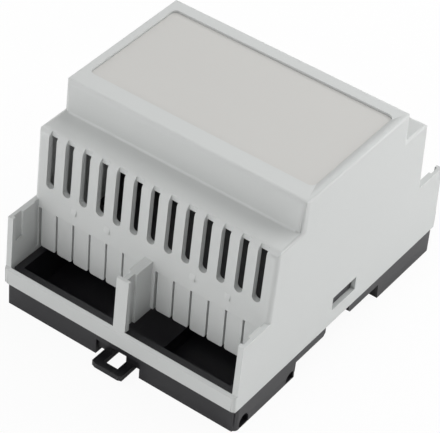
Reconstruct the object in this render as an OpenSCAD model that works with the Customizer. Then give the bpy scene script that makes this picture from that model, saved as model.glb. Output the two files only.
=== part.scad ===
// DIN rail enclosure, four modules wide. A tray-shaped base carries the rail channel,
// two fixed rail hooks and a sliding clip. A stepped cover with two rows of vents, four
// open terminal compartments and break-off wire tabs snaps over it, and a front panel
// snaps into the cover.
// X runs along the rail, Y across it and Z out through the front panel. The origin is
// the middle of the seat that bears on the rail. Heights are given above the feet.

/* [Housing] */
// Width along the rail
width = 71; // [56:1:106]
// Length across the rail, over the rims of the cover
length = 90; // [88:0.5:96]
// Height of the raised front
height = 58; // [55:0.5:64]
// Length of the raised front
front_length = 45; // [42:0.5:48]
// Length over the two vent walls
shoulder_length = 65.9; // [63:0.1:68]
// Height of the shoulders
shoulder_h = 49; // [46:0.5:51]
// Height of the walls beside the terminals
terminal_h = 27.8; // [26.4:0.1:30]
// Height of the seam between base and cover
seam_h = 7; // [6.8:0.1:8]
// Wall thickness of the cover
cover_wall = 1.6; // [1.3:0.1:2]
// Wall thickness of the base
base_wall = 2; // [1.6:0.1:2.4]
// Gap between mouldings that fit together
fit = 0.1; // [0.05:0.05:0.2]

/* [Edges] */
// Radius on the long edges of the raised front
front_edge_r = 1.4; // [0.6:0.1:2]
// Radius on the long edges of the shoulders
shoulder_edge_r = 2; // [1:0.1:2.5]
// Radius on the upright corners of the raised front
front_corner_r = 1.8; // [0.8:0.1:2.5]
// Radius on the upright corners of the vent walls, rims and base
corner_r = 1.2; // [0.6:0.1:1.5]
// Radius along the side edges of the front and the shoulders
side_edge_r = 0.8; // [0.4:0.1:1.2]
// Radius of the cove at the foot of the raised front
cove_r = 0.6; // [0.3:0.1:1]

/* [Vents and wire tabs] */
// Pitch of the vents, and of the terminals below them
pitch = 5.16; // [4.8:0.02:6.4]
// Width of a vent
vent_w = 2.4; // [1.6:0.1:3]
// Height of the round lower end of a vent
vent_bottom_h = 32.5; // [31.6:0.1:36]
// How far a vent runs back over the shoulder
vent_return = 1.2; // [0.8:0.1:1.4]
// Gap between neighbouring wire tabs
tab_gap = 0.6; // [0.4:0.05:1]
// Height of the root of the wire tabs
tab_root_h = 25.4; // [24:0.1:26]
// Height of the free ends of the wire tabs
tab_end_h = 12.8; // [12.6:0.1:16]
// Thickness of a wire tab
tab_t = 1.1; // [0.8:0.1:1.2]
// How far a wire tab lies behind the face of the vent wall
tab_setback = 0.25; // [0.1:0.05:0.4]
// Corner radius at the end of a wire tab
tab_end_r = 0.6; // [0.3:0.1:0.9]
// Height of the pips that hold a terminal cover
pip_h = 29.5; // [28.9:0.1:30.5]

/* [Terminal compartments] */
// Height of the rim in front of the terminals
rim_h = 12.4; // [12.3:0.1:13]
// Fall of the rim's top towards its outer edge
rim_fall = 0.7; // [0.4:0.1:1]
// How far the side walls stand over the rim
wall_foot = 0.5; // [0.3:0.1:0.7]
// Lean of the side walls' end faces
wall_lean = 0.8; // [0:0.1:1]
// Thickness of the lip in front of a guide groove
lip_t = 1.3; // [1:0.1:2]
// Width of a guide groove
groove_w = 2.8; // [2:0.1:3.2]
// Depth of a guide groove
groove_depth = 0.7; // [0.4:0.1:0.8]
// Height of the lower end of a guide groove
groove_end_h = 20; // [16:0.5:23]
// Thickness of the divider's web
divider_t = 2.6; // [2.2:0.1:3.2]
// Width of the divider's end flange
flange_w = 3.6; // [3.4:0.1:4.6]

/* [Front panel] */
// Width of the front panel
panel_w = 65.8; // [50:0.2:66]
// Length of the front panel
panel_l = 34.2; // [30:0.2:35]
// Distance of the panel's middle behind the middle of the housing
panel_shift = 0.9; // [0:0.1:1]
// Thickness of the front panel
panel_t = 1.4; // [1:0.1:2]
// Depth of the panel's face below the raised front
panel_recess = 0.6; // [0.3:0.1:1]
// Gap round the panel
panel_gap = 0.12; // [0.05:0.01:0.2]
// Corner radius of the panel
panel_corner_r = 1.5; // [0.8:0.1:3]
// Width of the ledge that carries the panel
ledge_w = 1.8; // [1.4:0.1:2.4]
// Thickness of the ledge
ledge_t = 1.2; // [0.8:0.1:1.6]
// Length of a snap nose on the panel's skirt
nose_l = 8; // [4:0.5:10]

/* [Snap windows] */
// Length of a snap window in the side of the cover
window_l = 10.2; // [8:0.2:14]
// Height of the lower edge of a snap window
window_h = 11.9; // [11.4:0.1:12.6]
// Height of a snap window's opening
window_open = 4.2; // [3.4:0.1:5]
// Distance of the snap window behind the middle
window_shift = 0.8; // [-1:0.1:1]
// How far a snap nose reaches into its window
nose_reach = 0.5; // [0.3:0.05:0.8]

/* [Base] */
// Width of the rail
rail_w = 35; // [35:1:35]
// Thickness of the rail's flange
rail_t = 1; // [0.8:0.1:1.3]
// Height of the rail seat
seat_h = 4.8; // [4.6:0.1:5.2]
// Play between the rail and the channel on the clip's side
clip_side_play = 1; // [0.7:0.1:1.3]
// Play between the rail and the channel on the hooks' side
hook_side_play = 0.6; // [0.4:0.1:0.9]
// Lean of the channel's walls
channel_lean = 0.3; // [0:0.1:0.5]
// Thickness of the base's floors
floor_t = 1.5; // [1.2:0.1:1.8]
// Height of the base's collar inside the cover
collar_h = 11.8; // [11:0.1:12.1]
// How far a rail hook reaches under the rail
hook_reach = 0.9; // [0.6:0.1:1.2]
// Width of a rail hook
hook_w = 10; // [6:0.5:14]
// Distance between the middles of the rail hooks
hook_spacing = 36; // [24:1:40]
// Length of the notch under the cover's edge for prising it off
notch_l = 10.2; // [8:0.2:14]
// Distance of that notch behind the middle
notch_shift = -0.8; // [-1:0.1:1]
// Radius of the arched recesses for clip-on feet
foot_recess_r = 1.9; // [1.2:0.1:2.2]
// Depth of those recesses
foot_recess_depth = 2.6; // [1:0.1:2.8]
// Height of the top of those recesses
foot_recess_h = 2.8; // [2.2:0.1:3.2]
// Distance of the outer recess's middle from the end of the base
foot_recess_in = 4; // [3:0.1:6]
// Distance of the inner recess's middle from the rail channel
foot_recess_out = 1.9; // [1.5:0.1:4]
// Diameter of a board pillar
pillar_d = 6; // [5:0.2:8]
// Diameter of the screw hole in a board pillar
pillar_bore = 2.4; // [1.8:0.1:3]
// Height of the board pillars
pillar_h = 11; // [10:0.1:12]
// Distance between board pillars along the rail
pillar_spacing_x = 52; // [36:1:54]
// Distance between board pillars across the rail
pillar_spacing_y = 26; // [20:1:30]

/* [Rail clip] */
// Width of the clip's finger loop
loop_w = 8.5; // [7.5:0.1:9]
// Thickness of the finger loop
loop_t = 1.6; // [1.2:0.1:1.8]
// Height of the clip's underside
clip_under_h = 0.6; // [0.4:0.1:0.8]
// How far the finger loop stands out from the base
loop_out = 4.9; // [4:0.1:6]
// Width of the loop's eye
eye_w = 4.3; // [4.2:0.1:4.6]
// Length of the loop's eye
eye_l = 5.1; // [4.6:0.1:5.6]
// Width of the bar outside the eye
eye_bar = 1.9; // [1.6:0.1:2.4]
// Radius on the corners of the loop
loop_r = 0.9; // [0.4:0.1:1.4]
// Width of the clip's slide
slide_w = 12.8; // [12:0.1:14]
// Thickness of the clip's slide
slide_t = 2.3; // [2:0.1:2.4]
// Gap between the clip and the base
clip_gap = 0.3; // [0.2:0.05:0.35]
// Distance of the bay's lips behind the end of the base
lip_in = 4; // [3:0.1:6]
// Travel of the clip
travel = 4; // [3:0.1:4.2]
// How far the clip's nose reaches under the rail
clip_reach = 1.1; // [0.8:0.1:1.3]
// Thickness of a spring arm
arm_t = 1; // [0.8:0.1:1.2]
// Length of a spring arm
arm_l = 11; // [9:0.5:12]
// How far a stop on a spring arm stands out
stop_out = 0.8; // [0.6:0.05:0.9]

/* [Hidden] */
$fn = 48;
cut = 1;
light_grey = "#cfd0cd";
panel_grey = "#cbccc9";
graphite = "#3e3d42";
black = "#1d1d20";
// Cover
inner_w = width - 2 * cover_wall;
rim_inside = length / 2 - cover_wall;
shoulder_y = shoulder_length / 2;
front_wall = panel_recess + panel_t + ledge_t;
ways = floor(inner_w / pitch);
wall_end = rim_inside + wall_foot;
groove_y = rim_inside - lip_t - groove_w;
web_t = divider_t - 2 * groove_depth;
// Base
base_length = 2 * (rim_inside - fit);
collar_w = inner_w - 2 * fit;
tray_w = collar_w - 2 * base_wall;
tray_y = base_length / 2 - base_wall;
clip_side = rail_w / 2 + clip_side_play;
hook_side = rail_w / 2 + hook_side_play;
tray_floor_h = seat_h + floor_t;
latch_l = window_l - 2 * fit - 0.4;
latch_top_h = window_h + window_open + 1;
grip_h = seat_h - rail_t;
// Clip
slide_under_h = clip_under_h + loop_t;
slide_top_h = slide_under_h + slide_t;
bay_w = slide_w + 2 * clip_gap;
bay_h = slide_top_h + clip_gap;
slide_end = base_length / 2 - clip_gap;
arm_root = slide_end - 9;
arm_end = arm_root - arm_l;
stop_l = 2;
neck_w = loop_w + 2 * clip_gap;

// ---- Helpers ----

// Extrudes an outline drawn in Y and Z along X
module along_x(size) {
    rotate([90, 0, 90]) linear_extrude(size, center = true) children();
}

// Extrudes an outline drawn in X and Z along Y
module along_y(size) {
    rotate([90, 0, 0]) linear_extrude(size, center = true) children();
}

module both_ends() {
    children();
    mirror([0, 1, 0]) children();
}

module both_sides() {
    children();
    mirror([1, 0, 0]) children();
}

module rounded_rect(x, y, r) {
    square([x - 2 * r, y], center = true);
    square([x, y - 2 * r], center = true);
    for (sx = [-1, 1], sy = [-1, 1])
        translate([sx * (x / 2 - r), sy * (y / 2 - r)]) circle(r);
}

// A rectangle standing on z0 with its two upper corners rounded
module crowned_rect(x, z0, z1, r) {
    translate([-x / 2, z0]) square([x, z1 - z0 - r]);
    translate([-x / 2 + r, z0]) square([x - 2 * r, z1 - z0]);
    for (s = [-1, 1]) translate([s * (x / 2 - r), z1 - r]) circle(r);
}

// A block with radii on its upright corners and on its upper edges
module crowned_block(x, y, z0, z1, corner, long_edge, side_edge) {
    intersection() {
        translate([0, 0, z0]) linear_extrude(z1 - z0) rounded_rect(x, y, corner);
        along_x(x) crowned_rect(y, z0, z1, long_edge);
        along_y(y) crowned_rect(x, z0, z1, side_edge);
    }
}

// A box given by its corners
module block(from, to) {
    translate(from) cube(to - from);
}

// ---- Cover ----

// Side walls of the terminal compartments and the rims in front of them
module skirt() {
    end = [
        [length / 2, seam_h],
        [length / 2, rim_h - rim_fall],
        [wall_end, rim_h],
        [wall_end - wall_lean, terminal_h]
    ];
    intersection() {
        translate([0, 0, seam_h])
            linear_extrude(terminal_h - seam_h) rounded_rect(width, length, corner_r);
        along_x(width)
            polygon([each end, for (i = [len(end) - 1:-1:0]) [-end[i].x, end[i].y]]);
    }
}

module cove() {
    translate([0, front_length / 2, shoulder_h]) along_x(width - 2 * front_corner_r)
        difference() {
            translate([-cut, -cut]) square(cove_r + cut);
            translate([cove_r, cove_r]) circle(cove_r);
        }
}

module cover_hollow() {
    along_x(inner_w) {
        translate([-rim_inside, seam_h - cut]) square([2 * rim_inside, tab_root_h - seam_h + cut]);
        translate([-length, rim_h]) square([2 * length, tab_root_h - rim_h]);
        for (s = [0, 1]) mirror([s, 0])
            translate([shoulder_y, rim_h]) square([length, terminal_h + cut - rim_h]);
        translate([cover_wall - shoulder_y, seam_h])
            square([2 * (shoulder_y - cover_wall), shoulder_h - cover_wall - seam_h]);
        translate([cover_wall - front_length / 2, seam_h])
            square([front_length - 2 * cover_wall, height - front_wall - seam_h]);
    }
}

// Guide groove for a terminal cover, and the relief beside the vent wall
module wall_groove() {
    x = inner_w / 2 - cut;
    block([x, -groove_y - groove_w, groove_end_h],
          [inner_w / 2 + groove_depth, -groove_y, terminal_h + cut]);
    block([x, -shoulder_y - groove_w + 1, tab_end_h],
          [inner_w / 2 + groove_depth / 2, -shoulder_y, terminal_h + cut]);
}

// Round-ended slot through the vent wall, running back over the shoulder's edge
module vent() {
    centre_h = vent_bottom_h + vent_w / 2;
    translate([0, -shoulder_y, 0]) along_y(2 * (cover_wall + cut)) {
        translate([0, centre_h]) circle(vent_w / 2);
        translate([-vent_w / 2, centre_h])
            square([vent_w, shoulder_h - cover_wall - centre_h]);
    }
    block([-vent_w / 2, -shoulder_y - cut, shoulder_h - cover_wall - cut],
          [vent_w / 2, -shoulder_y + vent_return, shoulder_h + cut]);
}

module wire_tab() {
    w = pitch - tab_gap;
    translate([0, -shoulder_y + tab_setback + tab_t / 2, 0]) along_y(tab_t) {
        translate([-w / 2, tab_end_h + tab_end_r])
            square([w, tab_root_h + cut - tab_end_h - tab_end_r]);
        translate([tab_end_r - w / 2, tab_end_h]) square([w - 2 * tab_end_r, tab_end_r + cut]);
        for (s = [-1, 1])
            translate([s * (w / 2 - tab_end_r), tab_end_h + tab_end_r]) circle(tab_end_r);
    }
}

// Small wedge that a terminal cover snaps over
module pip() {
    translate([0, -shoulder_y, pip_h]) along_x(1.6)
        polygon([[cut, -1], [0, -1], [-0.4, -0.7], [0, 1], [cut, 1]]);
}

// T-shaped divider between the two terminal compartments of one end
module divider() {
    foot_h = collar_h + 2 * fit;
    w = pitch - tab_gap;
    block([-w / 2, -shoulder_y, tab_end_h], [w / 2, cover_wall - shoulder_y, tab_root_h + cut]);
    block([-divider_t / 2, -groove_y, foot_h], [divider_t / 2, cut - shoulder_y, terminal_h]);
    block([-web_t / 2, -groove_y - groove_w - cut, foot_h],
          [web_t / 2, cut - groove_y, terminal_h]);
    along_x(flange_w) polygon([
        [-wall_end, rim_h], [wall_lean - wall_end, terminal_h],
        [-groove_y - groove_w, terminal_h], [-groove_y - groove_w, foot_h],
        [-wall_end, foot_h]
    ]);
}

module panel_outline(grow) {
    translate([0, panel_shift]) rounded_rect(panel_w + 2 * grow, panel_l + 2 * grow,
                                             panel_corner_r + max(grow, 1 - panel_corner_r));
}

module cover() {
    color(light_grey) translate([0, 0, -seat_h]) {
        difference() {
            union() {
                crowned_block(width, front_length, tab_root_h, height,
                              front_corner_r, front_edge_r, side_edge_r);
                crowned_block(width, shoulder_length, tab_root_h, shoulder_h,
                              corner_r, shoulder_edge_r, side_edge_r);
                both_ends() cove();
                skirt();
            }
            cover_hollow();
            translate([0, 0, height - panel_recess - panel_t])
                linear_extrude(front_wall) panel_outline(panel_gap);
            translate([0, 0, height - front_wall - cut])
                linear_extrude(front_wall) panel_outline(-ledge_w);
            both_ends() {
                for (i = [0:ways - 1]) translate([(i - (ways - 1) / 2) * pitch, 0, 0]) vent();
                both_sides() wall_groove();
            }
            along_x(width + 2 * cut) translate([window_shift - window_l / 2, window_h])
                square([window_l, window_open]);
        }
        both_ends() {
            for (i = [0:ways - 1])
                if (i != (ways - 1) / 2) translate([(i - (ways - 1) / 2) * pitch, 0, 0]) wire_tab();
            divider();
            both_sides() for (i = [2:2:ways / 2 - 2]) translate([(ways / 2 - i) * pitch, 0, 0]) pip();
        }
    }
}

// ---- Front panel ----

// Wall under the panel that locates it in the cover, with snap noses under the ledge
module panel_skirt() {
    bottom = height - front_wall - 1.6;
    top = height - panel_recess - panel_t;
    difference() {
        translate([0, 0, bottom]) linear_extrude(top + 0.5 - bottom) panel_outline(-ledge_w - panel_gap);
        translate([0, 0, bottom - cut]) linear_extrude(top - bottom + cut)
            panel_outline(-ledge_w - panel_gap - 1.2);
    }
    for (x = [-panel_w / 4, panel_w / 4], s = [-1, 1])
        translate([x, panel_shift, 0]) scale([1, s, 1])
            translate([0, panel_l / 2 - ledge_w - panel_gap, 0]) along_x(nose_l)
                polygon([[-0.5, bottom], [0, bottom], [0.55, bottom + 0.9],
                         [0.55, bottom + 1.5], [-0.5, bottom + 1.5]]);
}

module front_panel() {
    color(panel_grey) translate([0, 0, -seat_h]) {
        translate([0, 0, height - panel_recess - panel_t]) linear_extrude(panel_t) panel_outline(0);
        panel_skirt();
    }
}

// ---- Base ----

module base_hollow() {
    well_x = bay_w / 2 + base_wall;
    block([-tray_w / 2, -tray_y, tray_floor_h], [tray_w / 2, tray_y, collar_h + cut]);
    block([-tray_w / 2, hook_side + base_wall, floor_t], [tray_w / 2, tray_y, tray_floor_h + cut]);
    both_sides() block([well_x, -tray_y, floor_t],
                       [tray_w / 2, -clip_side - base_wall, tray_floor_h + cut]);
}

// Channel that the rail lies in, right through the underside
module rail_channel() {
    along_x(width + 2 * cut) polygon([
        [-clip_side - channel_lean, -cut], [-clip_side - channel_lean, 0],
        [-clip_side, seat_h], [hook_side, seat_h],
        [hook_side + channel_lean, 0], [hook_side + channel_lean, -cut]
    ]);
}

module rail_hook() {
    tip = rail_w / 2 - hook_reach;
    along_x(hook_w) polygon([
        [tip, grip_h - 0.2], [tip, grip_h - 1.4], [hook_side + channel_lean, grip_h - 2.8],
        [hook_side + base_wall, grip_h - 2.8], [hook_side + base_wall, grip_h - 0.2]
    ]);
}

// Bay that the clip slides in, with pockets for the stops on its spring arms
module clip_bay() {
    block([-bay_w / 2, -base_length / 2 - cut, -cut], [bay_w / 2, -clip_side + cut, bay_h]);
    both_sides() block(
        [0, -arm_end - stop_l - travel - clip_gap, slide_under_h - clip_gap],
        [slide_w / 2 + stop_out + clip_gap, clip_gap - arm_end, bay_h]);
}

// Lip that the clip's slide rides on
module bay_lip() {
    block([neck_w / 2, lip_in - base_length / 2, 0],
          [bay_w / 2 + 0.5, -clip_side - base_wall, slide_under_h - clip_gap]);
}

// Arched recess in the lower edge of the side, for a clip-on foot
module foot_recess() {
    translate([width / 2 - foot_recess_depth, 0, foot_recess_h - foot_recess_r])
        rotate([0, 90, 0]) cylinder(h = foot_recess_depth + cut, r = foot_recess_r);
}

// Notch under the edge of the cover, where a blade prises it off
module prising_notch() {
    a = notch_l / 2;
    translate([(width + collar_w) / 4 + cut / 2, notch_shift, 0])
        along_x((width - collar_w) / 2 + cut) polygon([
            [-a - 0.8, seat_h - cut], [-a - 0.8, seat_h], [-a, seat_h + 0.8], [-a, seam_h + cut],
            [a, seam_h + cut], [a, seat_h + 0.8], [a + 0.8, seat_h], [a + 0.8, seat_h - cut]
        ]);
}

// Tongue on the collar whose nose snaps into the cover's window
module latch() {
    face = collar_w / 2;
    low = window_h + 2 * fit;
    high = window_h + window_open - 2 * fit;
    translate([0, window_shift, 0]) {
        block([face - base_wall, -latch_l / 2, collar_h - cut], [face, latch_l / 2, latch_top_h]);
        along_y(latch_l) polygon([
            [face - cut, low], [face + fit + nose_reach, low],
            [face + fit + nose_reach, (low + high) / 2], [face, high], [face - cut, high]
        ]);
    }
}

module board_pillar() {
    translate([pillar_spacing_x / 2, pillar_spacing_y / 2, 0]) difference() {
        translate([0, 0, tray_floor_h - cut]) cylinder(h = pillar_h - tray_floor_h + cut, d = pillar_d);
        translate([0, 0, tray_floor_h]) cylinder(h = pillar_h, d = pillar_bore);
    }
}

module base() {
    color(graphite) translate([0, 0, -seat_h]) {
        difference() {
            union() {
                linear_extrude(seam_h) rounded_rect(width, base_length, corner_r);
                linear_extrude(collar_h) rounded_rect(collar_w, base_length, corner_r);
            }
            base_hollow();
            rail_channel();
            clip_bay();
            both_sides() {
                translate([0, foot_recess_in - base_length / 2, 0]) foot_recess();
                translate([0, -clip_side - foot_recess_out, 0]) foot_recess();
                prising_notch();
            }
        }
        both_sides() {
            bay_lip();
            latch();
            translate([hook_spacing / 2, 0, 0]) rail_hook();
            both_ends() board_pillar();
        }
    }
}

// ---- Rail clip ----

module loop_outline() {
    end = base_length / 2 + loop_out;
    translate([-loop_w / 2, loop_r - end]) square([loop_w, end - loop_r - arm_end]);
    translate([loop_r - loop_w / 2, -end]) square([loop_w - 2 * loop_r, end - arm_end]);
    for (s = [-1, 1]) translate([s * (loop_w / 2 - loop_r), loop_r - end]) circle(loop_r);
}

// Springy arm with the stop that limits the clip's travel
module spring_arm() {
    outer = slide_w / 2;
    translate([0, 0, slide_under_h]) linear_extrude(slide_t) polygon([
        [outer - arm_t, -arm_root - cut], [outer - arm_t, -arm_end], [outer, -arm_end],
        [outer + stop_out, -arm_end - 0.6], [outer + stop_out, -arm_end - stop_l + 0.6],
        [outer, -arm_end - stop_l], [outer, -arm_root - cut]
    ]);
}

module din_clip() {
    eye_end = base_length / 2 + loop_out - eye_bar;
    tip = rail_w / 2 - clip_reach;
    color(black) translate([0, 0, -seat_h]) {
        difference() {
            union() {
                translate([0, 0, clip_under_h]) linear_extrude(loop_t) loop_outline();
                block([-slide_w / 2, -slide_end, slide_under_h],
                      [slide_w / 2, -arm_root, slide_top_h]);
                block([-loop_w / 2, -arm_root - cut, slide_under_h - cut],
                      [loop_w / 2, -arm_end, slide_top_h]);
            }
            block([-eye_w / 2, -eye_end, -cut], [eye_w / 2, eye_l - eye_end, slide_top_h + cut]);
        }
        along_x(loop_w) polygon([
            [-arm_end - cut, clip_under_h], [-tip - 2, clip_under_h], [-tip, clip_under_h + 1.6],
            [-tip, grip_h - 0.2], [-arm_end - cut, grip_h - 0.2]
        ]);
        both_sides() spring_arm();
    }
}

base();
cover();
front_panel();
din_clip();
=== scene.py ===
"""Looks of a four-module enclosure for DIN rail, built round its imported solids.

Lengths in the code are metres, and settings that a user would change are properties
with their units.
"""

import math

import bmesh
import bpy
from bpy.props import FloatProperty, FloatVectorProperty, PointerProperty
from mathutils import Matrix, Vector


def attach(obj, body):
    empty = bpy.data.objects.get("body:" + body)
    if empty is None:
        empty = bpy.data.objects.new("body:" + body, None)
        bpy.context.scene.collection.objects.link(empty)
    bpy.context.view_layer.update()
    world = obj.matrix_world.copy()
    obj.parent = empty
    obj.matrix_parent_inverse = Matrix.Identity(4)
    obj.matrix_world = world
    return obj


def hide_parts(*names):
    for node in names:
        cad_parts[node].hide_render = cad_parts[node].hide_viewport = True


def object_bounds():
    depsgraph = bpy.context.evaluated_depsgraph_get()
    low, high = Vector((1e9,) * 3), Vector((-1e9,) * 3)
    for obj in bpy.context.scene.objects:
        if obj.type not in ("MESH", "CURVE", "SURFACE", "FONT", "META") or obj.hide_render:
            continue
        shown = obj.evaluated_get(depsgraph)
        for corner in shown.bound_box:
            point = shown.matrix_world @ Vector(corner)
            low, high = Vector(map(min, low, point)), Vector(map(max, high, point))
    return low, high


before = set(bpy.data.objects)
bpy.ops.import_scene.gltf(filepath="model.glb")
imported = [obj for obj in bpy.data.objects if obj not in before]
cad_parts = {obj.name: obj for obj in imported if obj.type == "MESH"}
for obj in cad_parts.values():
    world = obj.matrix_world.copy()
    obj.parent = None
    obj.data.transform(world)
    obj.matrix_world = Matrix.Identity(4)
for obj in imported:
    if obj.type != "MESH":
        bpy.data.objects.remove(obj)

bl_info = {
    "name": "DIN rail enclosure",
    "version": (1, 0, 0),
    "blender": (4, 5, 0),
    "location": "3D View > Sidebar > Enclosure",
    "description": "Moulded finishes, studio and camera for a four-module rail enclosure",
    "category": "Object",
}

MM = 0.001
CAD_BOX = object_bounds()


# ---- Colour and nodes ----

def to_linear(code):
    """Linear RGBA of an sRGB hex code such as "#cfd0cd"."""
    channels = [int(code[i:i + 2], 16) / 255 for i in (1, 3, 5)]
    return [c / 12.92 if c <= 0.04045 else ((c + 0.055) / 1.055) ** 2.4 for c in channels] + [1]


def add_node(tree, kind, links=(), **settings):
    """Adds a node. settings are its attributes, or its input values by name with _ for spaces.

    links are (input, node or socket) pairs. A node alone stands for its first output.
    """
    node = tree.nodes.new(kind)
    for name, value in settings.items():
        if hasattr(node, name):
            setattr(node, name, value)
        else:
            node.inputs[name.replace("_", " ")].default_value = value
    for name, source in links:
        socket = source if isinstance(source, bpy.types.NodeSocket) else source.outputs[0]
        tree.links.new(socket, node.inputs[name])
    return node


def new_material(name):
    """An empty node material, as (material, tree)."""
    material = bpy.data.materials.new(name)
    material.use_nodes = True
    material.node_tree.nodes.clear()
    return material, material.node_tree


# ---- Settings that a user would change ----

def colour_property(name, description, code):
    """A colour picker that starts at an sRGB hex code."""
    return FloatVectorProperty(name=name, description=description, subtype="COLOR",
                               default=to_linear(code)[:3], min=0, max=1)


class EnclosureFinish(bpy.types.PropertyGroup):
    """Colours of the plastics and the grain of their surface."""
    cover_colour: colour_property("Cover", "Colour of the cover", "#cfd1d0")
    panel_colour: colour_property("Panel", "Colour of the front panel", "#cccbc8")
    base_colour: colour_property("Base", "Colour of the base", "#17161b")
    clip_colour: colour_property("Clip", "Colour of the rail clip", "#0a0a0e")
    grain: FloatProperty(
        name="Grain", description="Width of one grain of the surface", unit="LENGTH",
        default=0.3 * MM, precision=5)
    grain_depth: FloatProperty(
        name="Grain depth", description="Height of the surface's grain", unit="LENGTH",
        default=0.01 * MM, precision=5)


class EnclosureStudio(bpy.types.PropertyGroup):
    """Camera."""
    aim: FloatVectorProperty(
        name="Aim", description="Point that the camera looks at", subtype="TRANSLATION",
        default=(0.87 * MM, -4.9 * MM, 18.47 * MM))
    distance: FloatProperty(
        name="Distance", description="From the camera to its aim", unit="LENGTH", default=0.559)
    azimuth: FloatProperty(
        name="Azimuth", description="Turn of the camera round the part", subtype="ANGLE",
        default=math.radians(33.06))
    elevation: FloatProperty(
        name="Elevation", description="Camera's angle above the horizon", subtype="ANGLE",
        default=math.radians(40.76))
    roll: FloatProperty(
        name="Roll", description="Tilt of the camera about its view", subtype="ANGLE",
        default=math.radians(5.05))
    lens: FloatProperty(
        name="Lens", description="Focal length in mm for a 36 mm sensor", default=184)


# ---- Materials ----

# How far a streak of the colour runs, and the refraction of ABS and nylon alike
FLOW = 18 * MM
PLASTIC_IOR = 1.53


def moulded_plastic(look, name, colour, roughness, mottle, shine=0.5):
    """Injection-moulded plastic with the fine grain that a spark-eroded mould leaves.

    The grain breaks highlights up into an even sheen. The real one is about 0.05 mm and too
    fine to show, so look.grain is a few times coarser. mottle is how far the colour strays,
    as melt that cooled unevenly does, and shine is the strength of the sheen.
    """
    material, tree = new_material(name)
    place = add_node(tree, "ShaderNodeTexCoord").outputs["Object"]
    cells = add_node(tree, "ShaderNodeTexNoise", [("Vector", place)],
                     Scale=1 / look.grain, Detail=2.0, Roughness=0.6)
    flow = add_node(tree, "ShaderNodeTexNoise", [("Vector", place)],
                    Scale=1 / FLOW, Detail=3.0, Roughness=0.5)
    tint = add_node(tree, "ShaderNodeMix", [("Factor", flow)], data_type="RGBA")
    dark, light = tint.inputs[6], tint.inputs[7]
    dark.default_value = [c * (1 - mottle) for c in colour] + [1]
    light.default_value = [min(1, c * (1 + mottle)) for c in colour] + [1]
    gloss = add_node(tree, "ShaderNodeMapRange", [("Value", cells)],
                     To_Min=roughness - 0.05, To_Max=roughness + 0.05)
    bump = add_node(tree, "ShaderNodeBump", [("Height", cells)],
                    Strength=0.5, Distance=look.grain_depth)
    shader = add_node(tree, "ShaderNodeBsdfPrincipled", [
        ("Base Color", tint.outputs[2]), ("Roughness", gloss), ("Normal", bump)],
        IOR=PLASTIC_IOR, Specular_IOR_Level=shine)
    add_node(tree, "ShaderNodeOutputMaterial", [("Surface", shader)])
    return material


# ---- Mouldings ----

# Heights in the housing, and how close a point has to be to count as lying on one
FEET = CAD_BOX[0].z
SEAM, RIM_TOP, TAB_ROOT, SHOULDER = (FEET + h * MM for h in (7, 12.4, 25.4, 49))
NEAR = 0.05 * MM

# End walls of the raised front and of the vents: where each one's two faces lie, counted
# from the middle of the part, and how far its foot stands out
DRAFT = math.tan(math.radians(3))
FRONT_WALL, FRONT_FOOT = (20 * MM, 27 * MM), 0.25 * MM
VENT_WALL, VENT_FOOT = (29 * MM, 34 * MM), 0.3 * MM
SEAM_LIFT = 0.3 * MM

# The cover's rims: from this distance on a face moves outwards by this much. In order
# they are the rim's outer face, the foot of the side walls and the rim's inner face.
RIM_MOVES = ((44.5 * MM, -0.5 * MM), (43.7 * MM, -0.15 * MM), (43.2 * MM, 0.2 * MM))
RIM_DROP = 0.2 * MM

# The base's end walls start here and move out by this much
BASE_END, BASE_GAIN = 43.2 * MM, 0.35 * MM

# Sockets for clip-on feet in the base's sides: the outer one's middle in the solid and
# here and half its length, how much taller it gets, and where the side's faces start
SOCKET_OLD, SOCKET_NEW, SOCKET_HALF = -39.3 * MM, -40 * MM, 1.95 * MM
SOCKET_STRETCH, SOCKET_SIDE, SOCKET_ROOF = 1.32, 32.5 * MM, FEET + 3 * MM

# Sills that close the sockets below, and the post between the inner socket and the rail
# channel. The sills are painted shade: dark blocks where the floor inside the sockets lies in
# shadow. They end just behind the base's side, so that no two faces share a plane.
SOCKET_SPANS = ((-41.7 * MM, -38.3 * MM), (-22.1 * MM, -18.8 * MM))
SOCKET_DEPTH, SHADE_SILL_HEIGHT, SHADE_SILL_INSET = 2.6 * MM, 0.35 * MM, 0.01 * MM
POST_LENGTH, POST_HEIGHT = 0.5 * MM, 2.9 * MM

# The clip's finger loop: its sides and the inner end of its eye, in the solid and here
LOOP_SIDE, LOOP_START, WIDE_LOOP_SIDE = (4.1 * MM, 4.3 * MM), -43 * MM, 4.55 * MM
EYE_HALF_WIDTH, EYE_END, LONG_EYE_END = 2.2 * MM, -41.2 * MM, -40.1 * MM

# Faces that meet at more than this stay crisp
CRISP = math.radians(24)


def drafted(point):
    """Where a point of the housing lies once its end walls lean as a mould needs.

    The solids' end walls are upright. Here those of the raised front and of the vents lean
    inwards from a foot that stands a little further out, and the seam is higher.
    """
    out, z = abs(point.y), point.z
    if z >= SHOULDER - 2 * NEAR and FRONT_WALL[0] < out < FRONT_WALL[1]:
        out += FRONT_FOOT - (z - SHOULDER) * DRAFT
    elif VENT_WALL[0] < out < VENT_WALL[1]:
        out += VENT_FOOT - max(0, z - TAB_ROOT) * DRAFT
    if abs(z - SEAM) < NEAR:
        z += SEAM_LIFT
    return Vector((point.x, math.copysign(out, point.y), z))


def cover_shape(point):
    """The cover has drafted walls, and thinner and lower rims at its ends."""
    moved, out = drafted(point), abs(point.y)
    if point.z < TAB_ROOT and out > RIM_MOVES[-1][0]:
        move = next(by for start, by in RIM_MOVES if out > start)
        moved.y = math.copysign(out + move, point.y)
        if abs(point.z - RIM_TOP) < NEAR:
            moved.z -= RIM_DROP
    return moved


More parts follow.
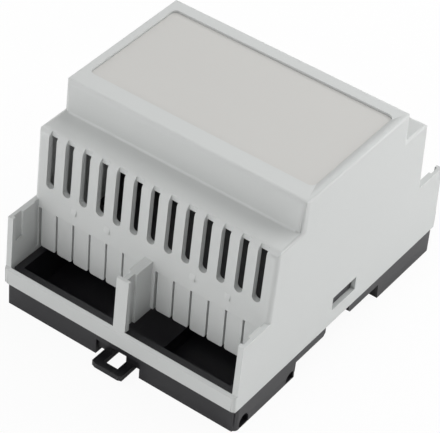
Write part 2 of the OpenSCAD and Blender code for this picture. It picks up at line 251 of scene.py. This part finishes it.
def base_shape(point):
    """The base is a little longer than the solid's, and its outer sockets are taller."""
    moved, out = drafted(point), abs(point.y)
    if out > BASE_END:
        moved.y = math.copysign(out + BASE_GAIN, point.y)
    if (abs(point.x) > SOCKET_SIDE and point.z < SOCKET_ROOF
            and abs(point.y - SOCKET_OLD) < SOCKET_HALF):
        moved.y = point.y + SOCKET_NEW - SOCKET_OLD
        moved.z = FEET + (point.z - FEET) * SOCKET_STRETCH
    return moved


def sills_for_shade_and_posts():
    """Boxes of the sills under the sockets, dark blocks that paint the floor's shadow there,
    and of the posts towards the rail channel.
    """
    outer, inner = CAD_BOX[1].x - SHADE_SILL_INSET, CAD_BOX[1].x - SOCKET_DEPTH
    rail_side = SOCKET_SPANS[-1][1]
    boxes = [(low, high, SHADE_SILL_HEIGHT) for low, high in SOCKET_SPANS]
    boxes.append((rail_side - POST_LENGTH, rail_side, POST_HEIGHT))
    for low, high, top in boxes:
        for left, right in ((inner, outer), (-outer, -inner)):
            yield (left, low, FEET), (right, high, FEET + top)


def clip_shape(point):
    """The clip's finger loop is a little wider and its eye longer than the solid's."""
    moved = point.copy()
    if LOOP_SIDE[0] < abs(point.x) < LOOP_SIDE[1] and point.y < LOOP_START:
        moved.x = math.copysign(WIDE_LOOP_SIDE, point.x)
    if abs(point.x) < EYE_HALF_WIDTH and abs(point.y - EYE_END) < NEAR:
        moved.y = LONG_EYE_END
    return moved


def finish_node(node_name, material):
    """Gives a solid its plastic and leaves its shape as it is."""
    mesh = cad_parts[node_name].data
    mesh.materials.clear()
    mesh.materials.append(material)


def reshaped_moulding(node_name, body, material, reshape, boxes=()):
    """A copy of the named node that stands for it, with its points moved by reshape.

    boxes are the (low corner, high corner) pairs of the blocks that the copy has besides.
    """
    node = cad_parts[node_name]
    shape = bmesh.new()
    shape.from_mesh(node.data)
    bmesh.ops.remove_doubles(shape, verts=shape.verts, dist=0.001 * MM)
    for vert in shape.verts:
        vert.co = reshape(node.matrix_world @ vert.co)
    # The solid's long thin triangles would shade a moved wall in stripes
    bmesh.ops.dissolve_degenerate(shape, dist=0.002 * MM, edges=shape.edges)
    bmesh.ops.dissolve_limit(shape, angle_limit=math.radians(0.5), verts=shape.verts,
                             edges=shape.edges)
    for low, high in boxes:
        middle, size = (Vector(low) + Vector(high)) / 2, Vector(high) - Vector(low)
        bmesh.ops.create_cube(shape, size=1, matrix=Matrix.Translation(middle)
                              @ Matrix.Diagonal(size).to_4x4())
    mesh = bpy.data.meshes.new(node_name + "_drafted")
    shape.to_mesh(mesh)
    shape.free()
    mesh.materials.append(material)
    mesh.polygons.foreach_set("use_smooth", [True] * len(mesh.polygons))
    piece = bpy.data.objects.new(node_name + "_drafted", mesh)
    bpy.context.scene.collection.objects.link(piece)
    mesh.set_sharp_from_angle(angle=CRISP)
    piece.modifiers.new("even_shading", "WEIGHTED_NORMAL").keep_sharp = True
    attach(piece, body)
    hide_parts(node_name)


class ENCLOSURE_OT_cover(bpy.types.Operator):
    """Finish the cover in light grey ABS"""
    bl_idname = "enclosure.cover"
    bl_label = "Cover"

    def execute(self, context):
        # Pale ABS looks chalky and even, and its grain leaves no mirror image on it
        look = context.scene.enclosure_finish
        plastic = moulded_plastic(look, "moulded_abs_light_grey", look.cover_colour,
                                  roughness=0.5, mottle=0.01)
        reshaped_moulding("cover", "housing", plastic, cover_shape)
        return {"FINISHED"}


class ENCLOSURE_OT_panel(bpy.types.Operator):
    """Finish the front panel in light grey ABS"""
    bl_idname = "enclosure.panel"
    bl_label = "Front panel"

    def execute(self, context):
        # A warmer and duller grey than the cover's, so that the panel reads as its own part
        look = context.scene.enclosure_finish
        plastic = moulded_plastic(look, "moulded_abs_panel_grey", look.panel_colour,
                                  roughness=0.55, mottle=0.01)
        finish_node("front_panel", plastic)
        return {"FINISHED"}


class ENCLOSURE_OT_base(bpy.types.Operator):
    """Finish the base in graphite grey ABS"""
    bl_idname = "enclosure.base"
    bl_label = "Base"

    def execute(self, context):
        # Dark ABS takes its grey from a broad sheen, which lifts the sides that face light
        look = context.scene.enclosure_finish
        plastic = moulded_plastic(look, "moulded_abs_graphite", look.base_colour,
                                  roughness=0.4, mottle=0.05, shine=0.7)
        # The sills under the sockets are painted shade: dark blocks where the floor would lie
        # in shadow
        reshaped_moulding("base", "housing", plastic, base_shape,
                          sills_for_shade_and_posts())
        return {"FINISHED"}


class ENCLOSURE_OT_clip(bpy.types.Operator):
    """Finish the rail clip in black nylon"""
    bl_idname = "enclosure.clip"
    bl_label = "Rail clip"

    def execute(self, context):
        # Nylon dyed through is deeper than the base, with a slightly waxy sheen on its edges
        look = context.scene.enclosure_finish
        plastic = moulded_plastic(look, "moulded_nylon_black", look.clip_colour,
                                  roughness=0.4, mottle=0.05, shine=0.6)
        reshaped_moulding("din_clip", "clip", plastic, clip_shape)
        return {"FINISHED"}


# ---- Stage ----

# Softboxes as name, azimuth and elevation in degrees, size in metres, power in watts
LAMPS = (
    ("right_back", 130, 25, 0.6, 2.86),
    ("front", 5, 12, 0.7, 0.90),
    ("front_high", 0, 45, 0.6, 1.00),
    ("left", -70, 20, 0.6, 2.10),
    ("back", 180, 45, 0.6, 1.72),
)
LAMP_DISTANCE = 0.6
# Strength of the light that comes from all sides
ROOM = 0.10
WHITE, PAPER = "#ffffff", "#f4f4f4"
# Half the floor's side, and how much of its white is its own for the camera
FLOOR_HALF, FLOOR_GLOW = 1.5, 0.93
SENSOR_WIDTH = 36


def aim_matrix(place, aim, roll=0.0):
    """Matrix of a camera or lamp at place that looks at aim, turned by roll about its view."""
    forward = (aim - place).normalized()
    right = forward.cross(Vector((0, 0, 1))).normalized()
    up = right.cross(forward)
    turned_right = right * math.cos(roll) + up * math.sin(roll)
    turned_up = up * math.cos(roll) - right * math.sin(roll)
    turn = Matrix((turned_right, turned_up, -forward)).transposed()
    return Matrix.Translation(place) @ turn.to_4x4()


def polar(azimuth, elevation, distance):
    """The offset of a point seen at that azimuth and elevation."""
    return distance * Vector((math.sin(azimuth) * math.cos(elevation),
                              -math.cos(azimuth) * math.cos(elevation), math.sin(elevation)))


def studio_world():
    """A world that is white to the camera and a faint even light to the object."""
    world = bpy.data.worlds.new("studio")
    world.use_nodes = True
    tree = world.node_tree
    tree.nodes.clear()
    camera_ray = add_node(tree, "ShaderNodeLightPath").outputs["Is Camera Ray"]
    room = add_node(tree, "ShaderNodeBackground", Color=to_linear(WHITE), Strength=ROOM)
    white = add_node(tree, "ShaderNodeBackground", Color=to_linear(WHITE), Strength=1.0)
    mix = add_node(tree, "ShaderNodeMixShader", [("Fac", camera_ray), (1, room), (2, white)])
    add_node(tree, "ShaderNodeOutputWorld", [("Surface", mix)])
    return world


def paper_white():
    """Matt white paper that glows for the camera, so that it meets the surround unseen.

    The share that doesn't glow shows the object's shadow.
    """
    material, tree = new_material("paper_white")
    camera_ray = add_node(tree, "ShaderNodeLightPath").outputs["Is Camera Ray"]
    paper = add_node(tree, "ShaderNodeBsdfDiffuse", Color=to_linear(PAPER))
    glow = add_node(tree, "ShaderNodeEmission", Color=to_linear(WHITE), Strength=1.0)
    share = add_node(tree, "ShaderNodeMath", [(0, camera_ray)], operation="MULTIPLY")
    share.inputs[1].default_value = FLOOR_GLOW
    mix = add_node(tree, "ShaderNodeMixShader", [("Fac", share), (1, paper), (2, glow)])
    add_node(tree, "ShaderNodeOutputMaterial", [("Surface", mix)])
    return material


def add_floor():
    """A large square sheet that the feet stand on."""
    mesh = bpy.data.meshes.new("floor")
    shape = bmesh.new()
    bmesh.ops.create_grid(shape, x_segments=1, y_segments=1, size=FLOOR_HALF)
    bmesh.ops.translate(shape, verts=shape.verts, vec=(0, 0, FEET))
    shape.to_mesh(mesh)
    shape.free()
    mesh.materials.append(paper_white())
    floor = bpy.data.objects.new("floor", mesh)
    bpy.context.scene.collection.objects.link(floor)


def add_lamp(name, azimuth, elevation, size, power):
    """A square area lamp that looks at the middle of the part."""
    data = bpy.data.lights.new(name, "AREA")
    data.size, data.energy = size, power
    lamp = bpy.data.objects.new(name, data)
    middle = (CAD_BOX[0] + CAD_BOX[1]) / 2
    place = middle + polar(math.radians(azimuth), math.radians(elevation), LAMP_DISTANCE)
    lamp.matrix_world = aim_matrix(place, middle)
    bpy.context.scene.collection.objects.link(lamp)


def add_camera(studio):
    """The scene's camera, placed by the studio's settings."""
    data = bpy.data.cameras.new("camera")
    data.lens, data.sensor_width = studio.lens, SENSOR_WIDTH
    camera = bpy.data.objects.new("camera", data)
    aim = Vector(studio.aim)
    place = aim + polar(studio.azimuth, studio.elevation, studio.distance)
    camera.matrix_world = aim_matrix(place, aim, studio.roll)
    bpy.context.scene.collection.objects.link(camera)
    bpy.context.scene.camera = camera


class ENCLOSURE_OT_stage(bpy.types.Operator):
    """Set up the floor, the white surround, the lamps and the camera"""
    bl_idname = "enclosure.stage"
    bl_label = "Stage"

    def execute(self, context):
        context.scene.view_settings.view_transform = "Standard"
        context.scene.world = studio_world()
        add_floor()
        for lamp in LAMPS:
            add_lamp(*lamp)
        add_camera(context.scene.enclosure_studio)
        return {"FINISHED"}


# ---- Add-on ----

STEPS = ("cover", "panel", "base", "clip", "stage")


class ENCLOSURE_PT_sidebar(bpy.types.Panel):
    """Lists the settings and the steps that dress the enclosure"""
    bl_label = "Enclosure"
    bl_idname = "ENCLOSURE_PT_sidebar"
    bl_space_type = "VIEW_3D"
    bl_region_type = "UI"
    bl_category = "Enclosure"

    def draw(self, context):
        for group in (context.scene.enclosure_finish, context.scene.enclosure_studio):
            for name in type(group).__annotations__:
                self.layout.prop(group, name)
        for name in STEPS:
            self.layout.operator(f"enclosure.{name}")


CLASSES = (EnclosureFinish, EnclosureStudio, ENCLOSURE_OT_cover, ENCLOSURE_OT_panel,
           ENCLOSURE_OT_base, ENCLOSURE_OT_clip, ENCLOSURE_OT_stage, ENCLOSURE_PT_sidebar)


def register():
    """Add the classes and hang the settings on the scene."""
    for item in CLASSES:
        bpy.utils.register_class(item)
    bpy.types.Scene.enclosure_finish = PointerProperty(type=EnclosureFinish)
    bpy.types.Scene.enclosure_studio = PointerProperty(type=EnclosureStudio)


def unregister():
    """Undo register."""
    del bpy.types.Scene.enclosure_studio
    del bpy.types.Scene.enclosure_finish
    for item in reversed(CLASSES):
        bpy.utils.unregister_class(item)


def main():
    """Run every step in order."""
    register()
    for name in STEPS:
        getattr(bpy.ops.enclosure, name)()


if __name__ == "__main__":
    main()
